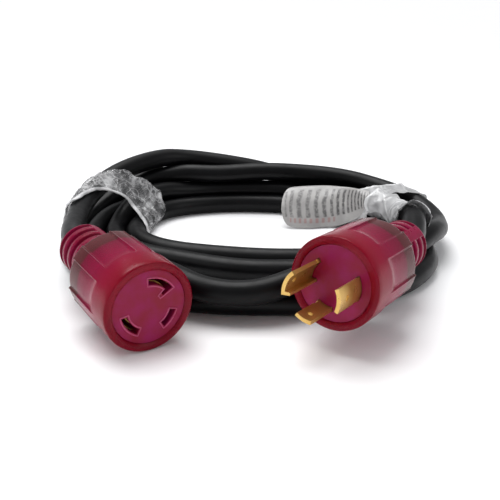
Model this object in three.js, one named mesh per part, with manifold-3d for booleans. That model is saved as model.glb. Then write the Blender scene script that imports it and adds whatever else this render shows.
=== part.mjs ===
// Shore power cord: round three-core cable in a loose coil, with a locking
// connector at one end and a locking plug at the other.
// Millimetres, +Z up, lying on z = 0.
import * as THREE from 'three';
import { mergeVertices } from 'three/addons/utils/BufferGeometryUtils.js';
import Module from 'manifold-3d';

const wasm = await Module();
wasm.setup();

// ---------------------------------------------------------------- dimensions

const GAP = 0.3; // between neighbouring pieces

// Cable
const CABLE_R = 7.5;
const CORE_R = 2.2; // insulated conductor
const COPPER_R = 1.5; // stripped strands
const CORE_SPREAD = 3.4; // conductors from the cable's axis

// Moulded end, measured from its face back along its own axis
const BODY_R = 25;
const BODY_REAR_R = 24.6;
const BODY_LENGTH = 50.5;
const SLEEVE_WALL = 4.4;
const RIM_CHAMFER = 1;
const FRONT_BAND = 15.5; // plain band ahead of the finger panels
const PANEL_COUNT = 6;
const PANEL_ANGLE = 39; // degrees
const PANEL_DEPTH = 0.8;
const PANEL_TURN = { connector: -18.5, plug: 17 }; // degrees
const FACE_RECESS = 0.8;
const CORE_BACK = 40; // where the inner moulding steps down to its strain relief
const NECK_START = 44;
const RELIEF_END = 91;
const RELIEF_R = 15.9;
const RELIEF_END_R = 15.2;
const GROOVE_COUNT = 4;
const GROOVE_PITCH = 8;
const GROOVE_WIDTH = 3.4;
const GROOVE_DEPTH = 2;
const FIRST_GROOVE = 61;
const GROOVE_ARC = 150; // degrees; two opposite ribs are left between a groove's halves
const RIB_TURN = { connector: 30, plug: 42 }; // degrees
const WIRING_R = 16.5; // hollow inside the inner moulding
const JACKET_END = 45;
const INSERT_R = BODY_R - SLEEVE_WALL - GAP;

// Three-pole locking pattern; angles run clockwise from the top, seen from the front
const POLE_R = 14;
const BLADE_THICK = 2;
const BLADE_HOLE_R = 1.5;
const BLADE_HOLE_FROM_TIP = 7;
const HOOK_LENGTH = 3;
const HOOK_ANGLE = 8;
const BLADE_CLEAR_ANGLE = 1.6;
const NOTCH_HEIGHT = 4;
const NOTCH_ANGLE = 12;
const SLOT_WIDTH = 3.2;
const CONTACT_WIDTH = 5;
const CONTACT_BITE = 2.6;
const CONTACT_FRONT = 6;
const CARRIER_DEPTH = { connector: 24.2, plug: 20 };
const BARREL_LENGTH = 7;
const BARREL_R = 2.7;
const BARREL_POLE_R = 12.5;

const CONNECTOR_POLES = [
  { name: 'ground', from: 1, to: 57, hook: true, colour: 0x2f8a3c },
  { name: 'hot', from: 110, to: 147, hook: false, colour: 0x151515 },
  { name: 'neutral', from: 209, to: 258, hook: false, colour: 0xe6e3dc },
];
const PLUG_POLES = [
  { name: 'ground', from: -40, to: -96, length: 25.5, hook: true, colour: 0x2f8a3c },
  { name: 'hot', from: -143, to: -180, length: 21.5, hook: false, colour: 0x151515 },
  { name: 'neutral', from: 112.5, to: 63.5, length: 21.5, hook: false, colour: 0xe6e3dc },
];

// Where the two ends lie: centre of the face, and the way the face looks
const FRAME_SHIFT = new THREE.Vector3(3.4, -9.2, 0); // puts the middle of the whole cord on the origin
const CONNECTOR_AT = new THREE.Vector3(-57.9, -119.5, 25.15);
const CONNECTOR_AXIS = new THREE.Vector3(0.554, -0.83, -0.062).normalize();
const PLUG_AT = new THREE.Vector3(34.8, -119.6, 38.2);
const PLUG_AXIS = new THREE.Vector3(-0.5605, -0.826, 0.06).normalize();

// Coil: an oval ring, one layer deep at its left, two at its front and right, three at its back
const COIL = {
  outer: { x: -3.4, y: 36.3, a: 142, b: 128.2 },
  inner: { x: -3, y: 66, a: 84, b: 60 },
  layer: 15,
  right: { fromX: 118, height: 26 },
  corner: { fromY: 75, height: 27 },
  front: { toY: -68, fromX: -62, toX: 66, height: 27 },
  back: { fromY: 90, fromX: -62, toX: 78, height: 50 },
};

// Where the two ends of the cable run before they join the coil
const CONNECTOR_LEAD = [
  [-121, -19, 32], [-126, 13, 31.5], [-129, 45, 32.5], [-126.5, 73, 36], [-115, 101, 42], [-92, 132, 46],
  [-70, 148, 44.8],
];
const PLUG_LEAD = [
  [98, -20, 34.5], [102, -3, 35.5], [104.5, 15, 32.5], [103.5, 37, 28.5], [98.5, 60, 25.5],
];

// Wraps and tag on the coil
const FILM_THICK = 0.8;
const LEFT_FILM = { x: -110.8, y: 80, turn: 80, length: 56, width: 58, height: 56 };
const RIGHT_FILM = { x: 103, y: 88, turn: -68, length: 34, width: 56, height: 38 };
const TAG = { thick: 1, clear: 1.2, fromX: 14, toX: 64, bottom: 2, height: 30 };

// ---------------------------------------------------------------- materials

const finish = (color, roughness, metalness = 0) =>
  new THREE.MeshStandardMaterial({ color, roughness, metalness });

const clearTint = () => finish(0xb04a72, 0.25);
const innerTint = () => finish(0x8a1c46, 0.35);
const faceTint = () => finish(0x84203c, 0.35);
const jacket = () => finish(0x121216, 0.5);
const brass = () => finish(0xc29a52, 0.3, 1);
const copper = () => finish(0xb56a3a, 0.35, 1);
const film = () => finish(0xd8dade, 0.2);
const paper = () => finish(0xc4c3c2, 0.5);

// ---------------------------------------------------------------- solids

const rad = (degrees) => THREE.MathUtils.degToRad(degrees);

function solidOf(geometry) {
  const bare = geometry.clone();
  bare.deleteAttribute('normal');
  bare.deleteAttribute('uv');
  const merged = mergeVertices(bare, 1e-4);
  return new wasm.Manifold(new wasm.Mesh({
    numProp: 3,
    vertProperties: Float32Array.from(merged.attributes.position.array),
    triVerts: Uint32Array.from(merged.index.array),
  }));
}

function geometryOf(solid) {
  const mesh = solid.getMesh();
  const geometry = new THREE.BufferGeometry();
  geometry.setAttribute('position', new THREE.BufferAttribute(mesh.vertProperties, 3));
  geometry.setIndex(new THREE.BufferAttribute(mesh.triVerts, 1));
  geometry.computeVertexNormals();
  return geometry;
}

function cut(geometry, tools) {
  const solid = tools.reduce((left, tool) => left.subtract(solidOf(tool)), solidOf(geometry));
  return geometryOf(solid);
}

function part(name, geometry, material) {
  const mesh = new THREE.Mesh(geometry, material);
  mesh.name = name;
  return mesh;
}

// A turned solid about the Z axis. The profile is [radius, z] pairs that run back along the
// outside and forward along the inside; it closes on itself.
function turned(profile, segments = 36) {
  const points = [...profile, profile[0]].map(([r, z]) => new THREE.Vector2(r, z)).reverse();
  return new THREE.LatheGeometry(points, segments).rotateX(Math.PI / 2);
}

function rod(radius, fromZ, toZ, segments = 16) {
  const geometry = new THREE.CylinderGeometry(radius, radius, toZ - fromZ, segments);
  return geometry.rotateX(Math.PI / 2).translate(0, 0, (fromZ + toZ) / 2);
}

function extruded(shape, fromZ, toZ, curveSegments = 8) {
  const options = { depth: toZ - fromZ, bevelEnabled: false, curveSegments };
  return new THREE.ExtrudeGeometry(shape, options).translate(0, 0, fromZ);
}

function tube(points, radius, sides, steps) {
  const section = new THREE.Shape().absarc(0, 0, radius, 0, 2 * Math.PI);
  const extrudePath = new THREE.CatmullRomCurve3(points, false, 'centripetal');
  return new THREE.ExtrudeGeometry(section, { extrudePath, steps, curveSegments: sides });
}

// Outline of a curved bar between two radii, from one clockwise angle to another, with an
// inward hook at its far end where it has one.
function curvedBar(rIn, rOut, from, to, hook = { length: 0, angle: 0 }) {
  const clockwise = to > from;
  const start = Math.PI / 2 - rad(from);
  const end = Math.PI / 2 - rad(to);
  const hookStart = Math.PI / 2 - rad(to - Math.sign(to - from) * hook.angle);
  const hookR = rIn - hook.length;
  const shape = new THREE.Shape();
  shape.absarc(0, 0, rOut, start, end, clockwise);
  if (hook.length > 0) {
    shape.lineTo(hookR * Math.cos(end), hookR * Math.sin(end));
    shape.lineTo(hookR * Math.cos(hookStart), hookR * Math.sin(hookStart));
  }
  shape.absarc(0, 0, rIn, hookStart, start, !clockwise);
  shape.closePath();
  return shape;
}

// A pole's outline, `wide` across and `spread` degrees longer at each end.
function poleOutline(pole, wide, spread, withHook = false) {
  const turn = Math.sign(pole.to - pole.from) * spread;
  const hook = { length: 0, angle: 0 };
  if (withHook && pole.hook) {
    hook.length = HOOK_LENGTH;
    hook.angle = HOOK_ANGLE + 2 * spread;
  }
  return curvedBar(POLE_R - wide / 2, POLE_R + wide / 2, pole.from - turn, pole.to + turn, hook);
}

function poleDirection(pole) {
  const middle = Math.PI / 2 - rad((pole.from + pole.to) / 2);
  return new THREE.Vector2(Math.cos(middle), Math.sin(middle));
}

// ---------------------------------------------------------------- moulded ends

// Clear outer sleeve with finger panels sunk into its rear two thirds.
function sleeve(prefix) {
  const inner = BODY_R - SLEEVE_WALL;
  const blank = turned([
    [inner, 0],
    [BODY_R - RIM_CHAMFER, 0],
    [BODY_R, -RIM_CHAMFER],
    [BODY_R, -FRONT_BAND],
    [BODY_REAR_R, -BODY_LENGTH + RIM_CHAMFER],
    [BODY_REAR_R - RIM_CHAMFER, -BODY_LENGTH],
    [inner, -BODY_LENGTH],
  ], 48);
  const panels = Array.from({ length: PANEL_COUNT }, (_, index) => {
    const middle = PANEL_TURN[prefix] + index * 360 / PANEL_COUNT;
    const edges = [middle - PANEL_ANGLE / 2, middle + PANEL_ANGLE / 2];
    const panel = curvedBar(BODY_R - PANEL_DEPTH, BODY_R + 3, ...edges);
    return extruded(panel, -BODY_LENGTH - 1, -FRONT_BAND, 6);
  });
  return cut(blank, panels);
}

// Inner moulding: hollow for the wiring, then a strain relief on the cable, grooved on two sides.
function innerMoulding(prefix, frontZ) {
  const bore = CABLE_R + GAP;
  const blank = turned([
    [INSERT_R, -frontZ],
    [INSERT_R, -CORE_BACK],
    [RELIEF_R, -NECK_START],
    [RELIEF_END_R, -RELIEF_END],
    [bore, -RELIEF_END],
    [bore, -NECK_START],
    [WIRING_R, -CORE_BACK + 6],
    [WIRING_R, -frontZ],
  ]);
  const halves = [90, 270].map((side) => RIB_TURN[prefix] + side);
  const grooves = Array.from({ length: GROOVE_COUNT }, (_, index) => FIRST_GROOVE + index * GROOVE_PITCH);
  const tools = grooves.flatMap((z) => halves.map((middle) => {
    const edges = [middle - GROOVE_ARC / 2, middle + GROOVE_ARC / 2];
    const groove = curvedBar(RELIEF_R - GROOVE_DEPTH, RELIEF_R + 3, ...edges);
    return extruded(groove, -z - GROOVE_WIDTH, -z, 10);
  }));
  return cut(blank, tools);
}

// Face insert of the connector: three curved slots, each with a pocket for its contact.
function connectorFace() {
  const back = CARRIER_DEPTH.connector;
  const tools = CONNECTOR_POLES.flatMap((pole) => {
    const slot = extruded(poleOutline(pole, SLOT_WIDTH, 1, true), -back, 1);
    const pocket = extruded(poleOutline(pole, CONTACT_WIDTH + 2 * GAP, 3), -back - 1, -CONTACT_FRONT);
    return [slot, pocket];
  });
  return cut(rod(INSERT_R, -back, -FACE_RECESS, 48), tools);
}

// Female contact: two curved leaves joined at the back, which grip a blade between them.
function contact(pole) {
  const front = -CONTACT_FRONT - GAP;
  const back = -CARRIER_DEPTH.connector + GAP;
  const block = extruded(poleOutline(pole, CONTACT_WIDTH, 1.5), back, front);
  const bite = extruded(poleOutline(pole, CONTACT_BITE, 6), back + 3, front + 1);
  return cut(block, [bite]);
}

// Blade carrier of the plug, with a fitted slot for each blade's root.
function plugFace() {
  const tools = PLUG_POLES.map((pole) => {
    const outline = poleOutline(pole, BLADE_THICK + 2 * GAP, BLADE_CLEAR_ANGLE, true);
    return extruded(outline, -CARRIER_DEPTH.plug - 1, 1);
  });
  return cut(rod(INSERT_R, -CARRIER_DEPTH.plug, -FACE_RECESS, 48), tools);
}

// Blade: a curved bar with a sight hole near its tip and a locking notch at its foot.
function blade(pole) {
  const bar = extruded(poleOutline(pole, BLADE_THICK, 0, true), -CARRIER_DEPTH.plug + GAP, pole.length);
  const middle = poleDirection(pole);
  const hole = rod(BLADE_HOLE_R, -5, 5, 12)
    .rotateX(Math.PI / 2)
    .rotateZ(middle.angle() - Math.PI / 2)
    .translate(middle.x * POLE_R, middle.y * POLE_R, pole.length - BLADE_HOLE_FROM_TIP);
  const notchEdges = [pole.from - NOTCH_ANGLE, pole.from + 2];
  const notch = extruded(curvedBar(POLE_R - 3, POLE_R + 3, ...notchEdges), 1, 1 + NOTCH_HEIGHT);
  return cut(bar, [hole, notch]);
}

// Crimp barrel, copper end and insulated conductor behind one pole.
function wiring(prefix, pole, carrierDepth) {
  const direction = poleDirection(pole);
  const x = direction.x * BARREL_POLE_R;
  const y = direction.y * BARREL_POLE_R;
  const front = -carrierDepth - GAP;
  const back = front - BARREL_LENGTH;
  const barrel = turned([
    [BARREL_R, front],
    [BARREL_R, back],
    [COPPER_R + GAP, back],
    [COPPER_R + GAP, front - 2],
    [0, front - 2],
    [0, front],
  ], 12);
  const strands = rod(COPPER_R, back - GAP, front - 2 - GAP, 10);
  const start = new THREE.Vector3(x, y, back - 2 * GAP);
  const end = new THREE.Vector3(direction.x * CORE_SPREAD, direction.y * CORE_SPREAD, -JACKET_END + GAP);
  const route = [
    start,
    start.clone().add(new THREE.Vector3(0, 0, -2.5)),
    end.clone().add(new THREE.Vector3(0, 0, 2.5)),
    end,
  ];
  return [
    part(`${prefix}_${pole.name}_crimp_barrel`, barrel.translate(x, y, 0), brass()),
    part(`${prefix}_${pole.name}_copper_end`, strands.translate(x, y, 0), copper()),
    part(`${prefix}_${pole.name}_conductor`, tube(route, CORE_R, 8, 8), finish(pole.colour, 0.5)),
  ];
}

// Power-on lamp and its resistor, in the hollow between the conductors.
function lamp() {
  const bulb = turned([[0, -26], [1.2, -26.5], [1.9, -28], [1.9, -32], [0, -32]], 12);
  const resistor = turned([[0, -26], [1.1, -26.4], [1.1, -32.6], [0, -33]], 10);
  return [
    part('connector_lamp', bulb.translate(-2.4, 0, 0), finish(0xd8d0c8, 0.2)),
    part('connector_lamp_resistor', resistor.translate(2.4, 0, 0), finish(0xb79a6b, 0.5)),
  ];
}

// What both ends share: sleeve, inner moulding, the cable's cut end and the wiring.
function mouldedEnd(prefix, poles) {
  const end = new THREE.Group();
  const depth = CARRIER_DEPTH[prefix];
  end.add(part(`${prefix}_sleeve`, sleeve(prefix), clearTint()));
  end.add(part(`${prefix}_strain_relief`, innerMoulding(prefix, depth + GAP), innerTint()));
  end.add(part(`${prefix}_cable_end`, rod(CABLE_R, -RELIEF_END, -JACKET_END), jacket()));
  poles.forEach((pole) => end.add(...wiring(prefix, pole, depth)));
  return end;
}

function connector() {
  const end = mouldedEnd('connector', CONNECTOR_POLES);
  end.add(part('connector_face', connectorFace(), faceTint()));
  CONNECTOR_POLES.forEach((pole) => {
    end.add(part(`connector_${pole.name}_contact`, contact(pole), brass()));
  });
  end.add(...lamp());
  return end;
}

function plug() {
  const end = mouldedEnd('plug', PLUG_POLES);
  end.add(part('plug_face', plugFace(), faceTint()));
  PLUG_POLES.forEach((pole) => {
    end.add(part(`plug_${pole.name}_blade`, blade(pole), brass()));
  });
  return end;
}

// Lays an end down: its local +Z becomes the axis, and its top stays uppermost.
function layDown(end, at, axis) {
  const right = new THREE.Vector3(0, 0, 1).cross(axis).normalize();
  const top = axis.clone().cross(right);
  end.quaternion.setFromRotationMatrix(new THREE.Matrix4().makeBasis(right, top, axis));
  end.position.copy(at);
  end.updateMatrixWorld(true);
  return end;
}

// ---------------------------------------------------------------- cable

const behind = (at, axis, distance) => at.clone().addScaledVector(axis, -distance);

const toPoint = ([x, y, z]) => new THREE.Vector3(x, y, z);

function connectorLead() {
  const points = [
    behind(CONNECTOR_AT, CONNECTOR_AXIS, RELIEF_END + GAP),
    behind(CONNECTOR_AT, CONNECTOR_AXIS, RELIEF_END + 12),
    ...CONNECTOR_LEAD.map(toPoint),
    new THREE.Vector3(COIL.back.fromX - 3, 150, 44.4),
  ];
  return tube(points, CABLE_R, 10, 24);
}

function plugLead() {
  const points = [
    behind(PLUG_AT, PLUG_AXIS, RELIEF_END + GAP),
    behind(PLUG_AT, PLUG_AXIS, RELIEF_END + 12),
    ...PLUG_LEAD.map(toPoint),
    new THREE.Vector3(96, COIL.corner.fromY - 2, 25),
  ];
  return tube(points, CABLE_R, 10, 14);
}

function coilBand(height) {
  const { outer, inner } = COIL;
  const ring = new THREE.Shape().absellipse(outer.x, outer.y, outer.a, outer.b, 0, 2 * Math.PI);
  ring.holes.push(new THREE.Path().absellipse(inner.x, inner.y, inner.a, inner.b, 0, 2 * Math.PI));
  return solidOf(extruded(ring, 0, height, 56));
}

function block(fromX, toX, fromY, toY) {
  const box = new THREE.BoxGeometry(toX - fromX, toY - fromY, 200);
  return solidOf(box.translate((fromX + toX) / 2, (fromY + toY) / 2, 0));
}

// Room for an end that lies against the coil.
function endRoom(at, axis) {
  const body = rod(BODY_R + 2 * GAP, -BODY_LENGTH - GAP, GAP, 36);
  const relief = rod(RELIEF_R + 2 * GAP, -RELIEF_END - GAP, -BODY_LENGTH, 24);
  const room = new THREE.Group();
  layDown(room, at, axis);
  return [body, relief].map((geometry) => solidOf(geometry.applyMatrix4(room.matrixWorld)));
}

function coil(filmRooms) {
  const { right, corner, front, back } = COIL;
  const far = 300;
  let solid = coilBand(COIL.layer);
  solid = solid.add(coilBand(right.height).intersect(block(right.fromX, far, -far, far)));
  solid = solid.add(coilBand(corner.height).intersect(block(-far, far, corner.fromY, far)));
  solid = solid.add(coilBand(front.height).intersect(block(front.fromX, front.toX, -far, front.toY)));
  solid = solid.add(coilBand(back.height).intersect(block(back.fromX, back.toX, back.fromY, far)));
  const rooms = [
    ...endRoom(CONNECTOR_AT, CONNECTOR_AXIS),
    ...endRoom(PLUG_AT, PLUG_AXIS),
    ...filmRooms.map(solidOf),
  ];
  return geometryOf(rooms.reduce((left, room) => left.subtract(room), solid));
}

// ---------------------------------------------------------------- wraps and tag

// A band right round the bundle, `grown` wider all over for the room it needs.
function filmBand({ x, y, turn, length, width, height }, grown = 0) {
  const rectangle = (shape, margin) => {
    const half = width / 2 - margin;
    shape.moveTo(-half, margin);
    shape.lineTo(half, margin);
    shape.lineTo(half, height - margin);
    shape.lineTo(-half, height - margin);
    shape.closePath();
    return shape;
  };
  const section = rectangle(new THREE.Shape(), -grown);
  section.holes.push(rectangle(new THREE.Path(), FILM_THICK + grown));
  return extruded(section, -length / 2 - grown, length / 2 + grown)
    .rotateX(Math.PI / 2)
    .rotateZ(rad(turn) + Math.PI / 2)
    .translate(x, y, 0);
}

// Care tag: a curved plate that follows the inside of the coil.
function careTag() {
  const { inner } = COIL;
  const on = (x, clear) => {
    const a = inner.a - clear;
    const b = inner.b - clear;
    return new THREE.Vector2(x, inner.y + b * Math.sqrt(1 - ((x - inner.x) / a) ** 2));
  };
  const steps = 10;
  const along = Array.from({ length: steps + 1 }, (_, i) => TAG.fromX + (TAG.toX - TAG.fromX) * i / steps);
  const near = along.map((x) => on(x, TAG.clear + TAG.thick));
  const far = along.map((x) => on(x, TAG.clear)).reverse();
  return extruded(new THREE.Shape([...near, ...far]), TAG.bottom, TAG.bottom + TAG.height);
}

// ---------------------------------------------------------------- assembly

const cord = new THREE.Group();
cord.add(layDown(connector(), CONNECTOR_AT, CONNECTOR_AXIS));
cord.add(layDown(plug(), PLUG_AT, PLUG_AXIS));
cord.add(part('connector_lead', connectorLead(), jacket()));
cord.add(part('plug_lead', plugLead(), jacket()));
cord.add(part('cable_coil', coil([filmBand(LEFT_FILM, GAP), filmBand(RIGHT_FILM, GAP)]), jacket()));
cord.add(part('left_film_wrap', filmBand(LEFT_FILM), film()));
cord.add(part('right_film_wrap', filmBand(RIGHT_FILM), film()));
cord.add(part('care_tag', careTag(), paper()));
cord.position.copy(FRAME_SHIFT);

export default cord;
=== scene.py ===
"""Looks of a shore power cord: round three-core cable in a loose coil, with a locking connector and
a locking plug moulded in tinted vinyl, two wraps of clear film and a care tag. Metres, CAD frame."""
import math

import bpy
import numpy as np
from mathutils import Matrix, Vector, noise


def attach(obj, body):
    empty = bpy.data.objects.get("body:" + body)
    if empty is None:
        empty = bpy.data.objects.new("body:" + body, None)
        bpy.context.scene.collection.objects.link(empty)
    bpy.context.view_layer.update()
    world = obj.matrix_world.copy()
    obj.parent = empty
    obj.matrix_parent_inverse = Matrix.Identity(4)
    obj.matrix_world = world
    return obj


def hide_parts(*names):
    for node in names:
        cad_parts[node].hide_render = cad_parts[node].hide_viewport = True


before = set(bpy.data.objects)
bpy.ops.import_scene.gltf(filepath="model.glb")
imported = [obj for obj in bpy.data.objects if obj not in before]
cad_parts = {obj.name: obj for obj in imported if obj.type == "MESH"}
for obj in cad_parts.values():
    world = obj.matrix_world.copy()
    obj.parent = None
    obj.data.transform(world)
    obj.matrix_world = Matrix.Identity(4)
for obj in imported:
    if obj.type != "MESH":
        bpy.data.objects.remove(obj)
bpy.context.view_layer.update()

# ---------------- dimensions

# From the route's own origin to the middle of the whole object
SHIFT = np.array((0.0034, -0.0092, 0))

# Cable
CABLE_R = 0.0075
STEP = 0.005  # between points along the cable
TIGHTEST_BEND = 0.052

# How the cable settles, round by round
ROUNDS = 300
ROUTE_PULL = 0.04  # share of the way back to the drawn route
SAG = 0.00003  # fall towards the floor
BEND_SPREAD = 0.05
BEND_EASE = 0.12
BEND_REACH = 4  # points each way that a tight bend is measured over
EVEN_SHARE = 0.125
PUSH = 1.2
NEAR_GAP = 0.009  # turns closer than this are watched for contact
END_GAP = 0.0003  # kept between the turns and a moulded end
HELD_POINTS = 3  # fixed at each end of the cable
LEAD_POINTS = 15  # at each end of the cable that are part of its moulded end

# Where the two ends lie: centre of the face, and the way the face looks
CONNECTOR_AT = np.array((-0.0579, -0.1195, 0.02515)) + SHIFT
CONNECTOR_AXIS = np.array((0.554, -0.83, -0.062))
PLUG_AT = np.array((0.0348, -0.1196, 0.0382)) + SHIFT
PLUG_AXIS = np.array((-0.5605, -0.826, 0.06))

# Moulded end, measured back from its face
BODY_R = 0.025
BODY_REAR_R = 0.0246
BODY_LENGTH = 0.0505
SLEEVE_INNER_R = 0.0206
RIM_ROUND = 0.0011
FRONT_BAND = 0.0155
PANEL_COUNT = 6
PANEL_ANGLE = 39
PANEL_DEPTH = 0.0008
PANEL_WALL = (-0.0002, 0.0004)  # where its side wall starts and ends, in from its edge
PANEL_FADE = 0.006
PANEL_TURN = {"connector": -18.5, "plug": 17}
BEAD_HEIGHT = 0.0004
BEAD_WIDTH = 0.0003
BEAD_OUT = 0.0005
CORE_R = 0.0205
MOULDING_FRONT = {"connector": 0.0245, "plug": 0.0203}
CORE_BACK = 0.040
CORE_HOLLOW_R = 0.0165
CORE_WALL = 0.006
NECK_START = 0.044
RELIEF_END = 0.091
RELIEF_R = 0.0159
RELIEF_END_R = 0.0152
RELIEF_ROUND = 0.0018
BORE_GAP = 0.0002
FIRST_GROOVE = 0.061
GROOVE_PITCH = 0.008
GROOVE_COUNT = 4
GROOVE_WIDTH = 0.0034
GROOVE_DEPTH = 0.002
GROOVE_ARC = 150
GROOVE_WALL = (-0.0003, 0.0004)
RIB_TURN = {"connector": 30, "plug": 42}

# Where the ends' meshes are finer: degrees from a panel's or rib's edge, then lengths
PANEL_STEPS = (-3.6, -2.6, -2.0, -1.5, -1.0, -0.5, 0, 0.5, 1.0, 1.5, 2.4)
RIB_STEPS = (-2.4, -1.2, 0, 1.2, 2.4)
BAND_STEPS = np.array([-1.6, -1.1, -0.7, -0.4, -0.1, 0.2, 0.5, 0.8, 1.2, 1.8, 2.6, 3.6]) / 1000
GROOVE_STEPS = np.array([-0.3, -0.05, 0.2, 0.45]) / 1000

# Locking blades and slots; angles run clockwise from the top, seen from the front
POLE_R = 0.014
BLADE_THICK = 0.002
BLADE_LENGTH = {"ground": 0.0255, "hot": 0.0215, "neutral": 0.0215}
BLADE_ROOT = 0.0197
BLADE_SOFTENING = 0.00035
BLADE_HOLE_R = 0.0015
BLADE_HOLE_FROM_TIP = 0.007
HOOK_LENGTH = 0.003
HOOK_ANGLE = 8
CUT_REACH = 0.003  # a cutter's overlap on each side of a blade
NOTCH_FROM = 0.001
NOTCH_HEIGHT = 0.004
NOTCH_ANGLE = 12
NOTCH_SWEEP = 14
SLOT_WIDTH = 0.0032
FACE_SINK = 0.0008
LIP_R = 0.00042
LIP_OUT = 0.0007
LIP_SPREAD = 4
# Start angle, end angle, and whether its end is hooked
PLUG_BLADES = {"ground": (-40, -96, True), "hot": (-143, -180, False), "neutral": (112.5, 63.5, False)}
CONNECTOR_SLOTS = {"ground": (1, 57, True), "hot": (110, 147, False), "neutral": (209, 258, False)}

# Film and tag
FILM_THICK = 0.00012
FILM_CLEAR = 0.0006  # between the cable and a tight band
FILM_FLOOR = 0.0002  # a film's lowest height
BAND_STEP = 0.001  # between the loops that a band is read from
BAND_COLUMNS = 210
CREASE_SEED = 12  # without one, the noise's folds differ from run to run
BUNDLE_REACH = 0.05  # how far from the band's centre a turn may lie
LOOP_WAYS = 160
HEM_ROWS = 9
HEM_WIDE = 0.0024
HEM_HIGH = 0.0008
LEAD_FILM_RUN = (0.130, 0.042)  # before the cable's end
LEAD_FILM_CLEAR = 0.0010
LEAD_FILM_FLARE = 0.0016
LEAD_FILM_COLUMNS = 84
TAG_THICK = 0.0005
TAG_RIPPLE = 0.0006
CARD_END = 0.17  # share of its length that its rounded end takes

# Stage: the room is brightest in a low band, just above the floor's far edge
FLOOR_HALF = 60
ROOM_COLOUR = (0.97, 0.98, 1, 1)
ROOM_LIGHT = 0.42
HORIZON_LIGHT = 1.0
HORIZON_BAND = (0.085, 0.1)  # height at which the band fades, as a sine
SKY_AT = (-0.25, 0.35, 1)
SKY_ENERGY = 2.3
SKY_SPREAD = 50
SOFT_LIGHTS = {  # place, target, size, power
    "overhead": ((0.0, 0.15, 1.1), (0, 0.02, 0), 0.9, 3),
    "left_side": ((-1.0, -0.5, 0.6), (0, 0, 0.03), 0.7, 2),
    "right_side": ((1.0, -0.6, 0.7), (0, 0, 0.03), 0.7, 2.5),
}
EYE = (-0.007, -0.444, 0.1746)
LENS = 50.4
SENSOR = 36
LOOK_DOWN = 20

# ---------------- cable route

# Millimetres. The same points as the CAD's leads, then stations round the coil
CONNECTOR_LEAD = [
    (-121, -19, 32), (-126, 13, 31.5), (-129, 45, 32.5), (-126.5, 73, 36), (-115, 101, 42),
]
PLUG_LEAD = [
    (98.5, 60, 25.5), (103.5, 37, 28.5), (104.5, 15, 32.5), (102, -3, 35.5), (98, -20, 34.5),
]
COIL_STATIONS = [
    (-92, 132, 46), (-67, 150, 44.5), (-50, 154, 42.4), (-15.7, 156, 36.7), (0, 157, 33.5), (18, 155, 29),
    (48, 149, 22), (75, 135, 16), (99, 112, 10), (113, 83, 7.5), (117.5, 53, 7.5), (117, 25, 7.5),
    (112, 1, 7.5), (102, -23, 7.5), (87, -41, 7.5), (68, -56, 7.5), (48, -67, 7.5), (22, -74, 7.5),
    (-8, -75, 7.5), (-40, -71, 7.5), (-70, -60, 7.5), (-97, -39, 7.5), (-119, -11, 7.5), (-132, 19, 7.5),
    (-137.5, 51, 7.5), (-135, 79, 9.5), (-127, 103, 15), (-113, 122, 23), (-95, 135, 30.5),
    (-76, 139.5, 32.5), (-53, 138, 32.5), (-24, 140, 33.5), (2, 143, 34.6), (36, 142, 33), (69, 134, 30),
    (100, 115, 27.5), (122, 89, 23.5), (132, 62, 18.5), (127.5, 36, 18), (119, 14, 21.5), (108, -3, 22),
    (97, -17, 19.5), (86, -29, 15.5), (74, -40, 10.5), (60, -48, 11), (46, -56, 15), (34, -66, 19.5),
    (20, -76, 20.5), (6, -82, 19), (-7, -84, 18.4), (-24, -82.5, 19), (-40, -79, 19.9), (-55, -66, 20),
    (-68, -54, 17), (-85, -40, 11), (-104, -13, 7.5), (-118, 19, 8), (-123.5, 51, 9), (-121, 79, 10.5),
    (-110, 103, 13.5), (-93, 124.5, 9.5), (-72, 142, 7.5), (-45, 153, 7.5), (-20, 155, 7.5),
    (5, 155, 7.5), (34, 151, 7.5), (66, 138, 7.5), (90, 112, 7.5), (101, 81, 7.5), (103, 53, 7.5),
    (101, 25, 7.5), (89, -3, 7.5), (64, -19, 7.5), (40, -24, 7.5), (19, -24, 7.5), (-8, -24, 7.5),
    (-42, -12, 7.5), (-73, 5, 7.5), (-94, 25, 7.5), (-108.5, 51, 7.5), (-107, 75, 11.5), (-101, 96, 18.5),
    (-88, 117, 22.5), (-70, 130, 22.5), (-52, 139, 20), (-24, 144.5, 18.5), (10, 143, 18), (40, 137, 16),
    (62, 124, 10.5), (78, 104, 7.5), (87, 77, 7.5), (88, 49, 7.5), (81, 23, 7.5), (60, 3, 7.5),
    (26, -3.5, 7.5), (-7, -1.5, 7.5), (-42, 6.5, 7.5), (-73, 17, 7.5), (-88, 35, 7.5), (-94.5, 61, 7.5),
    (-93.5, 85, 7.5), (-83, 107, 7.5), (-63, 123, 7.5), (-33, 132, 7.5), (0, 133.5, 7.5), (26, 130, 8.5),
    (48, 121.5, 14), (68, 108, 21), (84, 89, 23.5),
]


def unit(vector):
    """The same direction, one long."""
    return np.asarray(vector, float) / np.linalg.norm(vector)


def behind(at, axis, distance):
    """A point on a moulded end's axis, behind its face."""
    return at - unit(axis) * distance


def length_along(line):
    """Each point's distance along a line."""
    return np.concatenate([[0], np.cumsum(np.linalg.norm(np.diff(line, axis=0), axis=1))])


def evenly(line, step):
    """The same line with its points about `step` apart."""
    run = length_along(line)
    at = np.linspace(0, run[-1], int(round(run[-1] / step)) + 1)
    return np.stack([np.interp(at, run, line[:, k]) for k in range(3)], 1)


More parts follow.
